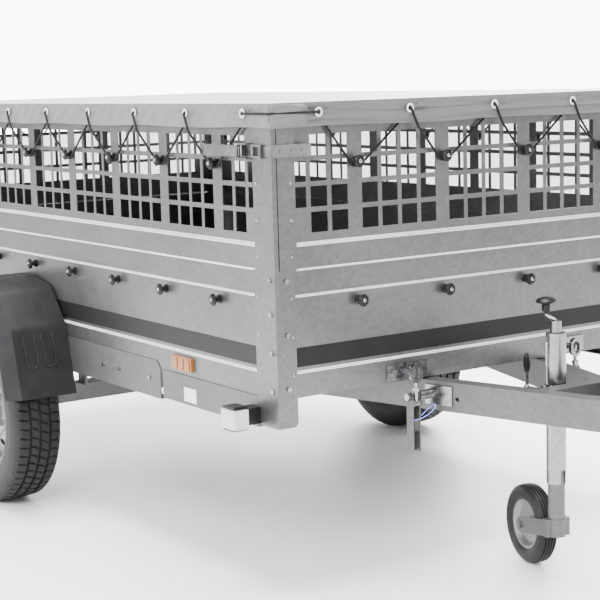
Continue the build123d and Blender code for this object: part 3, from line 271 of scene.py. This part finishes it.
def add_block(work, low, high, bevel):
    """A box with softened edges."""
    made = bmesh.ops.create_cube(work, size=1)["verts"]
    for v in made:
        v.co = Vector([(a + b) / 2 + c * (b - a) for a, b, c in zip(low, high, v.co)])
    if bevel:
        edges = list({e for v in made for e in v.link_edges})
        bmesh.ops.bevel(work, geom=edges, offset=bevel, segments=2, affect="EDGES")


def add_lathe(work, outline, place, segments=20):
    """A turned shape: outline is (radius, height) from foot to tip, place a matrix for its Z axis."""
    rings = []
    for radius, height in outline:
        if radius < 1e-6:
            rings.append([work.verts.new(place @ Vector((0, 0, height)))])
            continue
        angles = [2 * math.pi * k / segments for k in range(segments)]
        rings.append([work.verts.new(place @ Vector((radius * math.cos(a), radius * math.sin(a),
                                                     height))) for a in angles])
    for low, high in zip(rings, rings[1:]):
        for k in range(segments):
            n = (k + 1) % segments
            corners = [low[k % len(low)], low[n % len(low)], high[n % len(high)], high[k % len(high)]]
            corners = list(dict.fromkeys(corners))
            if len(corners) > 2:
                work.faces.new(corners)


def facing(point, direction):
    """A matrix that stands something at a point, its Z axis along a direction."""
    turn = Vector(direction).to_track_quat("Z", "Y").to_matrix().to_4x4()
    return Matrix.Translation(point) @ turn


def tube(name, points, radius, body, material, closed=False):
    """A round wire along a smooth line through a few points."""
    curve = bpy.data.curves.new(name, "CURVE")
    curve.dimensions = "3D"
    curve.bevel_depth = radius
    curve.bevel_resolution = 4
    curve.resolution_u = 12
    spline = curve.splines.new("NURBS")
    spline.points.add(len(points) - 1)
    for point, place in zip(spline.points, points):
        point.co = (*place, 1)
    spline.order_u = 3
    spline.use_endpoint_u = not closed
    spline.use_cyclic_u = closed
    curve.materials.append(material)
    made = bpy.data.objects.new(name, curve)
    bpy.context.scene.collection.objects.link(made)
    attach(made, body)
    return made


# ---- tarpaulin ----
def eyelet_places():
    """(point, outward direction) of every eyelet, from the hooks' spacing."""
    z = COVER[1].z - EYELET_DROP
    side = [REAR + SIDE_FIRST_HOOK - EYELET_LEAD + k * SIDE_PITCH for k in range(9)]
    end = [-HALF + END_FIRST_HOOK - EYELET_LEAD + k * END_PITCH for k in range(5)]
    right = [((x, COVER[0].y, z), (0, -1, 0)) for x in side]
    front = [((COVER[1].x, y, z), (1, 0, 0)) for y in end]
    middle = REAR + FRONT
    far = [((middle - x, -y, h), (-a, -b, 0)) for (x, y, h), (a, b, c) in right + front]
    return right + front + far


def hem_relief(s, depth, eyelets, streaks):
    """How far the hanging flap stands out at a place along the edge and down the flap."""
    gap, nearest = min((abs(s - e), e) for e in eyelets)
    across, above = s - nearest, (EYELET_DROP - depth * COVER_DROP)
    away, angle = math.hypot(across, above), math.atan2(across, above)
    fan = 0.0030 * math.sin(11 * angle + 3 * nearest) * math.exp(-((away - 0.034) / 0.02) ** 2)
    fan *= min(1, max(0, above / 0.01 + 0.6))
    bulge = 0.0036 * math.sin(min(gap / 0.13, 1) * math.pi / 2) * depth
    dimple = -0.0030 * math.exp(-(gap / 0.026) ** 2) * math.exp(-((depth - 0.42) / 0.24) ** 2)
    slant = 0.0019 * math.sin(s * 95 + depth * 5.5 + 2 * math.sin(s * 11)) * math.sin(depth * math.pi)
    level = math.sin(depth * 15 + 1.6 * math.sin(s * 6.3)) + 0.6 * math.sin(depth * 27 + s * 4)
    fade = min(1, depth * 5)
    return (bulge + dimple + fan + (0.0020 * level if streaks else slant)) * fade


def cover_mesh():
    """One continuous sheet: a slightly slack top and a flap all round."""
    low, high = COVER
    ax, ay = (high.x - low.x) / 2 - 0.0012, (high.y - low.y) / 2 - 0.0012
    cx = (high.x + low.x) / 2
    radius, step, rows, rings = 0.012, 0.006, 16, 44
    drop = COVER_DROP
    edge = []
    for (sx, sy), (ex, ey), (nx, ny) in (((-1, -1), (1, -1), (0, -1)), ((1, -1), (1, 1), (1, 0)),
                                         ((1, 1), (-1, 1), (0, 1)), ((-1, 1), (-1, -1), (-1, 0))):
        start = Vector((sx * ax, sy * ay)) + Vector((abs(ny) * -sx, abs(nx) * -sy)) * radius
        end = Vector((ex * ax, ey * ay)) + Vector((abs(ny) * -ex, abs(nx) * -ey)) * radius
        count = int((end - start).length / step)
        for k in range(count):
            edge.append((start.lerp(end, k / count), Vector((nx, ny))))
        centre = end - Vector((nx, ny)) * radius
        for k in range(6):
            angle = math.atan2(ny, nx) + math.pi / 2 * k / 6
            out = Vector((math.cos(angle), math.sin(angle)))
            edge.append((centre + out * radius, out))
    eyelets = {}
    for (x, y, z), (dx, dy, _) in eyelet_places():
        eyelets.setdefault((dx, dy), []).append(y if dx else x)
    work = bmesh.new()
    loops = []
    for row in range(rows, -1, -1):
        depth = row / rows
        loop = []
        for place, out in edge:
            axis = (round(out.x), round(out.y))
            s = place.y if axis[0] else place.x + cx
            known = eyelets.get(axis if axis in eyelets else (0, -1))
            relief = hem_relief(s, depth, known, bool(axis[0]))
            spot = place + out * relief
            z = high.z - 0.0012 - drop * depth
            z += 0.0016 * math.sin(s * 13 + axis[0]) * depth ** 3
            loop.append(work.verts.new((spot.x + cx, spot.y, z)))
        loops.append(loop)
    for ring in range(1, rings):
        f = 1 - ring / rings
        loop = []
        for place, out in edge:
            x, y = place.x * f, place.y * f
            u, v = 1 - (x / ax) ** 2, 1 - (y / ay) ** 2
            sag = 0.015 * min(u, 1) ** 0.7 * min(v, 1) ** 0.7 * min(1, 12 * min(u, v))
            wave = 0.0018 * math.sin(x * 7 + y * 11) * math.sin(y * 9 - x * 3) * u * v
            crease = 0.0012 * math.sin((x + y) * 38) * math.exp(-((1 - f) / 0.16) ** 2) * u * v
            loop.append(work.verts.new((x + cx, y, high.z - 0.0004 - sag * 0.5 + wave + crease)))
        loops.append(loop)
    for outer, inner in zip(loops, loops[1:]):
        for k in range(len(edge)):
            n = (k + 1) % len(edge)
            work.faces.new((outer[k], outer[n], inner[n], inner[k]))
    work.faces.new(loops[-1])
    bmesh.ops.triangulate(work, faces=[f for f in work.faces if len(f.verts) > 4])
    return finished(work, "cover_tarpaulin")


def make_cover():
    cover = piece("cover_tarpaulin", cover_mesh(), "bed", COVER_CLOTH, 60)
    thick = cover.modifiers.new("thickness", "SOLIDIFY")
    thick.thickness, thick.offset = 0.0012, -1
    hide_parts("cover_sheet")
    drop = COVER_DROP
    flaps = make_corner_flaps(drop)
    work = bmesh.new()
    ring = [(0.0062, 0.0), (0.0100, 0.0004), (0.0112, 0.0018), (0.0098, 0.0032), (0.0072, 0.0032),
            (0.0060, 0.0016), (0.0062, 0.0)]
    for point, out in eyelet_places():
        add_lathe(work, ring, facing(Vector(point) + Vector(out) * -0.0006, out), 24)
    piece("cover_eyelets", finished(work, "cover_eyelets"), "bed", WHITE, 50)


def make_corner_flaps(drop):
    """The folded corner: a tuck of cloth laid over the end flap beside each corner."""
    flaps = []
    for index, (sx, sy) in enumerate(((1, -1), (1, 1), (-1, 1), (-1, -1))):
        work = bmesh.new()
        grid = []
        across, down = 20, 10
        width, height = 0.105, drop * 0.93
        face = FRONT if sx > 0 else REAR
        for i in range(across + 1):
            column = []
            u = i / across
            for j in range(down + 1):
                v = j / down
                round_end = 0.014 * (1 - math.sqrt(max(0, 1 - (2 * abs(v - 0.5)) ** 6)))
                y = HALF + 0.005 - u * (width - round_end)
                out = 0.0095 + 0.0022 * math.sin(v * math.pi) - 0.0055 * u ** 6
                out += 0.0009 * math.sin(v * 19 + u * 5)
                x = face + sx * out
                if u < 0.12:
                    x -= sx * 0.004 * (1 - u / 0.12) ** 2
                column.append(work.verts.new((x, sy * y, COVER[1].z - 0.004 - height * v * 0.97)))
            grid.append(column)
        for a, b in zip(grid, grid[1:]):
            for j in range(down):
                work.faces.new((a[j], a[j + 1], b[j + 1], b[j]))
        name = f"cover_corner_{index + 1}"
        flap = piece(name, finished(work, name), "bed", COVER_CLOTH, 60)
        thick = flap.modifiers.new("thickness", "SOLIDIFY")
        thick.thickness = 0.0012
        flaps.append(flap)
    return flaps


# ---- tyres ----
def tyre_mesh(name, sections, segments, depth_at):
    """A tyre round the Y axis; sections are (radius, y), depth_at gives the tread's depth."""
    work = bmesh.new()
    rings = []
    for k in range(segments):
        angle = 2 * math.pi * k / segments
        ring = []
        for radius, y in sections:
            r = radius - depth_at(radius, y, angle)
            ring.append(work.verts.new((r * math.cos(angle), y, r * math.sin(angle))))
        rings.append(ring)
    for k, ring in enumerate(rings):
        after = rings[(k + 1) % segments]
        for j in range(len(sections)):
            n = (j + 1) % len(sections)
            work.faces.new((ring[j], ring[n], after[n], after[j]))
    return finished(work, name)


def road_section():
    """The outline of a 155 wide radial tyre, bead to bead and back inside."""
    side = [(RIM_EDGE + 0.001, 0.046), (RIM_EDGE + 0.016, 0.0655), (RIM_EDGE + 0.024, 0.071),
            (RIM_EDGE + 0.036, 0.0760), (RIM_EDGE + 0.050, 0.0772), (RIM_EDGE + 0.054, 0.0765),
            (RIM_EDGE + 0.058, 0.0771), (RIM_EDGE + 0.072, 0.0755), (TYRE_RADIUS - 0.018, 0.0705),
            (TYRE_RADIUS - 0.010, 0.0665), (TYRE_RADIUS - 0.005, 0.0615), (TYRE_RADIUS - 0.0025, 0.057)]
    crown = []
    steps = 76
    for k in range(1, steps):
        y = 0.055 * (1 - 2 * k / steps)
        crown.append((TYRE_RADIUS - 0.0022 * (abs(y) / 0.055) ** 2.2, y))
    inner = [(RIM_EDGE + 0.004, -0.036), (RIM_EDGE + 0.03, -0.062), (RIM_EDGE + 0.07, -0.064),
             (TYRE_RADIUS - 0.016, -0.045), (TYRE_RADIUS - 0.012, 0.0)]
    inner += [(r, -y) for r, y in reversed(inner[:-1])]
    return side + crown + [(r, -y) for r, y in reversed(side)] + inner


def road_tread(radius, y, angle):
    """Three straight grooves, slanted cuts between them and notches on the shoulders."""
    if radius < TYRE_RADIUS - 0.012:
        return 0.0
    if radius < TYRE_RADIUS - 0.0045:
        pitch = (angle / (2 * math.pi) * 62) % 1
        return 0.0018 if pitch < 0.16 else 0.0
    for centre in (-0.030, 0.0, 0.030):
        if abs(y - centre) < 0.0034:
            return 0.0065
    slant = 160 * y if abs(y) < 0.030 else 60 * y
    pitch = (angle / (2 * math.pi) * 62 + slant * 0.1) % 1
    width = 0.17 if abs(y) < 0.030 else 0.12
    return 0.0042 if pitch < width else 0.0


def jockey_tread(radius, y, angle):
    """Straight grooves round a solid rubber tyre."""
    grooves = (-0.012, -0.004, 0.004, 0.012)
    in_groove = any(abs(y - centre) < 0.0014 for centre in grooves)
    return 0.0028 if radius > 0.094 and in_groove else 0


def make_tyres():
    mesh = tyre_mesh("tyre_tread", road_section(), 620, road_tread)
    for side, y in (("right", -WHEEL_Y), ("left", WHEEL_Y)):
        data = mesh.copy()
        data.transform(Matrix.Translation((WHEEL_X, y, TYRE_RADIUS)))
        made = piece(f"tyre_tread_{side}", data, f"wheel_{side}", RUBBER, 24)
        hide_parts(f"tyre_{side}")
    side = [(0.0615, 0.0185), (0.070, 0.0238), (0.078, 0.0246), (0.086, 0.0243), (0.092, 0.0218),
            (0.0965, 0.0175)]
    crown = [(0.0995 - 0.0016 * (abs(y) / 0.016) ** 2, y) for y in
             [0.016 - 0.032 * k / 40 for k in range(41)]]
    outline = side + crown + [(r, -y) for r, y in reversed(side)]
    data = tyre_mesh("jockey_tyre_rubber", outline, 160, jockey_tread)
    low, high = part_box("jockey_tyre")
    turn = Matrix.Rotation(JOCKEY_SWIVEL, 4, "Z")
    data.transform(Matrix.Translation((low + high) / 2) @ turn)
    made = piece("jockey_tyre_rubber", data, "jockey_wheel", RUBBER, 24)
    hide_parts("jockey_tyre")


# ---- trim on the bed ----
def make_stripes():
    """The dark stripe just above the low ledge, on both sides and both ends."""
    z0, z1 = WALL_BOTTOM + 0.071, WALL_BOTTOM + 0.117
    thin = 0.0005
    work = bmesh.new()
    side_end, end_side = FRONT - 0.087, HALF - 0.055
    for y in (-1, 1):
        face = y * (HALF - MID_BAND)
        low, high = sorted((face, face + y * thin))
        add_block(work, (REAR + 0.087, low, z0), (side_end, high, z1), 0.0002)
    add_block(work, (FRONT - MID_BAND, -end_side, z0), (FRONT - MID_BAND + thin, end_side, z1), 0.0002)
    piece("side_stripes", finished(work, "side_stripes"), "bed", STRIPE, 0)
    work = bmesh.new()
    add_block(work, (REAR + MID_BAND - thin, -end_side + 0.004, z0),
              (REAR + MID_BAND, end_side - 0.004, z1), 0.0002)
    piece("tailgate_stripe", finished(work, "tailgate_stripe"), "tailgate", STRIPE, 0)


def make_ledges():
    """The rounded bends where each band of a wall steps out to the one below it, coloured near-white as a
    painted highlight on the zinc sheet.
    """
    bands = {"walls": ((WALL_BOTTOM + 0.060, 0.003, 0.008), (WALL_BOTTOM + 0.238, 0.008, 0.012)),
             "lattices": ((WALL_TOP + 0.001, 0.0042, 0.0056), (WALL_TOP + 0.056, 0.005, 0.013))}
    works = {"bed": bmesh.new(), "tailgate": bmesh.new()}
    for kind, ledges in bands.items():
        side_end, end_side = (0.087, HALF - 0.055) if kind == "walls" else (0.080, HALF - 0.063)
        for z, outer, inner in ledges:
            rise = (inner - outer) * 0.7
            curve = [(inner + 0.0004, z + rise), (inner - 0.0006, z + rise * 0.62),
                     (outer + (inner - outer) * 0.45, z + rise * 0.3), (outer - 0.0002, z - 0.0005),
                     (outer - 0.0004, z - 0.003), (outer + 0.0008, z - 0.0045)]
            for face in ("right", "left", "front", "rear"):
                body = "tailgate" if face == "rear" and kind == "walls" else "bed"
                ends = []
                for t in (0, 1):
                    row = []
                    for depth, height in curve:
                        if face in ("right", "left"):
                            x = REAR + side_end + t * (LENGTH - 2 * side_end)
                            row.append(Vector((x, (-1 if face == "right" else 1) * (HALF - depth), height)))
                        else:
                            y = -end_side + t * 2 * end_side
                            x = FRONT - depth if face == "front" else REAR + depth
                            row.append(Vector((x, y, height)))
                    ends.append([works[body].verts.new(v) for v in row])
                for k in range(len(curve)):
                    n = (k + 1) % len(curve)
                    works[body].faces.new((ends[0][k], ends[0][n], ends[1][n], ends[1][k]))
                for row in ends:
                    works[body].faces.new(row)
    for body, work in works.items():
        # the bend strips carry the painted-highlight colour
        name = f"{body}_ledge_bends_painted_highlight"
        piece(name, finished(work, name), body, PAINTED_HIGHLIGHT_LEDGE, 70)


def make_rivets():
    """Domed rivets on the posts and the lattice ends."""
    dome = [(0.0045, 0.0), (0.0043, 0.0012), (0.0032, 0.0024), (0.0016, 0.003), (0.0, 0.0032)]
    work = bmesh.new()
    sides = ((1, -1), (1, 1), (-1, -1), (-1, 1))
    for sx, sy in sides:
        end = FRONT if sx > 0 else REAR
        for z in (WALL_BOTTOM + 0.055, WALL_BOTTOM + 0.145, WALL_BOTTOM + 0.235):
            add_lathe(work, dome, facing((end - sx * 0.074, sy * HALF, z), (0, sy, 0)), 14)
            if sx > 0:
                add_lathe(work, dome, facing((end, sy * (HALF - 0.046), z), (1, 0, 0)), 14)
        for z in (WALL_TOP + 0.03, WALL_TOP + 0.115, WALL_TOP + 0.2, WALL_TOP + 0.33):
            add_lathe(work, dome, facing((end - sx * 0.068, sy * HALF, z), (0, sy, 0)), 14)
            add_lathe(work, dome, facing((end, sy * (HALF - 0.05), z), (sx, 0, 0)), 14)
    piece("post_rivets", finished(work, "post_rivets"), "bed", ZINC, 40)


def make_hook_bolts():
    """The bright bolt in the middle of every hook."""
    dome = [(0.0052, 0.0), (0.005, 0.0012), (0.0036, 0.0026), (0.0, 0.0031)]
    bodies = {"bed": bmesh.new(), "tailgate": bmesh.new()}
    side = [REAR + SIDE_FIRST_HOOK + k * SIDE_PITCH for k in range(8)]
    end = [-HALF + END_FIRST_HOOK + k * END_PITCH for k in range(4)]
    for z, reach in ((WALL_TOP - 0.088, 0.017), (WALL_TOP + 0.24, 0.012)):
        for x in side:
            for sy in (-1, 1):
                place = facing((x, sy * (HALF + reach), z), (0, sy, 0))
                add_lathe(bodies["bed"], dome, place, 14)
        for y in end:
            add_lathe(bodies["bed"], dome, facing((FRONT + reach, y, z), (1, 0, 0)), 14)
            body = "tailgate" if z < WALL_TOP else "bed"
            add_lathe(bodies[body], dome, facing((REAR - reach, y, z), (-1, 0, 0)), 14)
    for body, work in bodies.items():
        name = f"{body}_hook_bolts"
        piece(name, finished(work, name), body, ZINC, 40)


def make_labels():
    """Blank stickers: one on the sill plate, one on the jockey tube; and ribs on the reflectors."""
    work = bmesh.new()
    x, z = FRONT - 0.403, WALL_BOTTOM - 0.048
    add_block(work, (x - 0.03, -HALF - 0.0004, z - 0.018), (x + 0.03, -HALF, z + 0.018), 0.0001)
    piece("sill_label", finished(work, "sill_label"), "bed", WHITE, 0)
    work = bmesh.new()
    low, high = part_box("jockey_outer_tube")
    centre = (low + high) / 2
    radius = (high.x - low.x) / 2 + 0.0003
    columns = []
    for k in range(15):
        angle = math.radians(-168 + 66 * k / 14)
        spot = (centre.x + radius * math.cos(angle), centre.y + radius * math.sin(angle))
        columns.append([work.verts.new((*spot, high.z - d)) for d in (0.022, 0.08)])
    for a, b in zip(columns, columns[1:]):
        work.faces.new((a[0], a[1], b[1], b[0]))
    piece("jockey_label", finished(work, "jockey_label"), "jockey_tube", WHITE)
    low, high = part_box("side_reflectors")
    work = bmesh.new()
    for sy in (-1, 1):
        face = sy * high.y
        for k in range(3):
            x = low.x + (high.x - low.x) * (0.2 + 0.3 * k)
            pair = sorted((face - sy * 0.001, face + sy * 0.0022))
            add_block(work, (x - 0.013, pair[0], low.z + 0.003),
                      (x + 0.013, pair[1], high.z - 0.003), 0.0012)
    piece("reflector_ribs", finished(work, "reflector_ribs"), "bed", AMBER, 30)


def guard_profile(inset):
    """The mudguard's crown in X and Z, from the top to its front edge."""
    x, low, high = WHEEL_X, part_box("mudguard_right")[0].z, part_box("mudguard_right")[1].z
    return [(x + 0.005, high + inset), (x + 0.045, high + inset), (x + 0.155 + inset, high - 0.021),
            (x + 0.242 + inset, high - 0.127), (x + 0.268 + inset, low + 0.105)]


def make_guard_ribs():
    """Two pressed loops along each mudguard."""
    for side, sy in (("right", -1), ("left", 1)):
        for index, y in enumerate((0.066, 0.122)):
            run = guard_profile(0.0012)
            near, far = y - 0.017, y + 0.017
            points = [(px, sy * (HALF + near), pz) for px, pz in run]
            ex, ez = run[-1]
            points += [(ex + 0.004, sy * (HALF + near + 0.002), ez - 0.016),
                       (ex + 0.0045, sy * (HALF + y), ez - 0.022),
                       (ex + 0.004, sy * (HALF + far - 0.002), ez - 0.016)]
            points += [(px, sy * (HALF + far), pz) for px, pz in reversed(run)]
            tube(f"guard_rib_{side}_{index + 1}", points, 0.0022, "bed", GUARD)


def make_tie():
    """A thin plastic tie through the right latch lever."""
    low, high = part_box("tilt_latch_lever_right")
    x, y, z = high.x, (low.y + high.y) / 2, high.z - 0.06
    points = [(x - 0.016, y - 0.01, z - 0.01), (x + 0.006, y - 0.012, z - 0.006),
              (x + 0.03, y + 0.012, z + 0.012),
              (x + 0.034, y + 0.03, z + 0.034), (x + 0.012, y + 0.028, z + 0.028),
              (x + 0.004, y + 0.004, z + 0.004)]
    tube("latch_tie", points, 0.0012, "tilt_latch_lever_right", BLUE)


# ---- stage, light and camera ----
def make_stage():
    mesh = bpy.data.meshes.new("floor")
    work = bmesh.new()
    bmesh.ops.create_grid(work, x_segments=8, y_segments=8, size=30)
    work.to_mesh(mesh)
    work.free()
    floor = bpy.data.objects.new("floor", mesh)
    bpy.context.scene.collection.objects.link(floor)
    pale = moulded("pale_floor", (0.93, 0.93, 0.93), (0.95, 0.95, 0.95), 0.5, 40, 0.00002, 0.0, 0.5)
    mesh.materials.append(pale)
    world = bpy.data.worlds.new("studio")
    bpy.context.scene.world = world
    world.use_nodes = True
    nodes, links = world.node_tree.nodes, world.node_tree.links
    coords = nodes.new("ShaderNodeTexCoord")
    toward = nodes.new("ShaderNodeVectorMath")
    toward.operation = "DOT_PRODUCT"
    toward.inputs[1].default_value = (-0.827, 0.562, 0.0)
    backdrop = nodes.new("ShaderNodeMapRange")
    backdrop.interpolation_type = "SMOOTHSTEP"
    backdrop.inputs["From Min"].default_value = 0.72
    backdrop.inputs["From Max"].default_value = 0.93
    backdrop.inputs["To Min"].default_value = 1.25
    backdrop.inputs["To Max"].default_value = 11.0
    links.new(coords.outputs["Generated"], toward.inputs[0])
    links.new(toward.outputs["Value"], backdrop.inputs["Value"])
    links.new(backdrop.outputs["Result"], nodes["Background"].inputs["Strength"])
    nodes["Background"].inputs["Color"].default_value = (0.97, 0.985, 1.0, 1)


def area_light(name, place, target, size, power):
    light = bpy.data.lights.new(name, "AREA")
    light.shape = "RECTANGLE"
    light.size, light.size_y, light.energy = size[0], size[1], power
    lamp = bpy.data.objects.new(name, light)
    bpy.context.scene.collection.objects.link(lamp)
    lamp.location = place
    lamp.rotation_euler = (Vector(target) - Vector(place)).to_track_quat("-Z", "Y").to_euler()


def make_lights():
    area_light("key", (4.5, -4.5, 5.0), (0, 0, 0.6), (4, 3), 700)
    area_light("side", (-2.5, -6.0, 2.2), (-0.6, 0, 0.6), (5, 2), 420)
    area_light("top", (-0.4, 0.0, 6.0), (-0.4, 0, 1.0), (5, 4), 1500)
    area_light("back", (-3.5, 5.0, 3.0), (0, 0, 0.6), (4, 2), 400)


def make_camera():
    """The photograph's view: low, from ahead of the front right corner, slightly rolled."""
    yaw, pitch, roll = math.radians(145.829), math.radians(8.206), math.radians(-1.576)
    ahead = Vector((math.cos(yaw) * math.cos(pitch), math.sin(yaw) * math.cos(pitch),
                    -math.sin(pitch)))
    right = ahead.cross(Vector((0, 0, 1))).normalized()
    up = right.cross(ahead)
    across = right * math.cos(roll) + up * math.sin(roll)
    above = up * math.cos(roll) - right * math.sin(roll)
    data = bpy.data.cameras.new("camera")
    data.lens, data.sensor_width = 94.0, 36.0
    camera = bpy.data.objects.new("camera", data)
    bpy.context.scene.collection.objects.link(camera)
    turn = Matrix((across, above, -ahead)).transposed().to_4x4()
    place = (FRONT + 2.9554, -HALF - 1.9383, WALL_TOP + 0.4448)
    camera.matrix_world = Matrix.Translation(place) @ turn
    bpy.context.scene.camera = camera


make_camera()
make_stage()
make_lights()
finish_nodes()
make_cover()
make_tyres()
make_stripes()
make_ledges()
make_rivets()
make_hook_bolts()
make_labels()
make_guard_ribs()
make_tie()
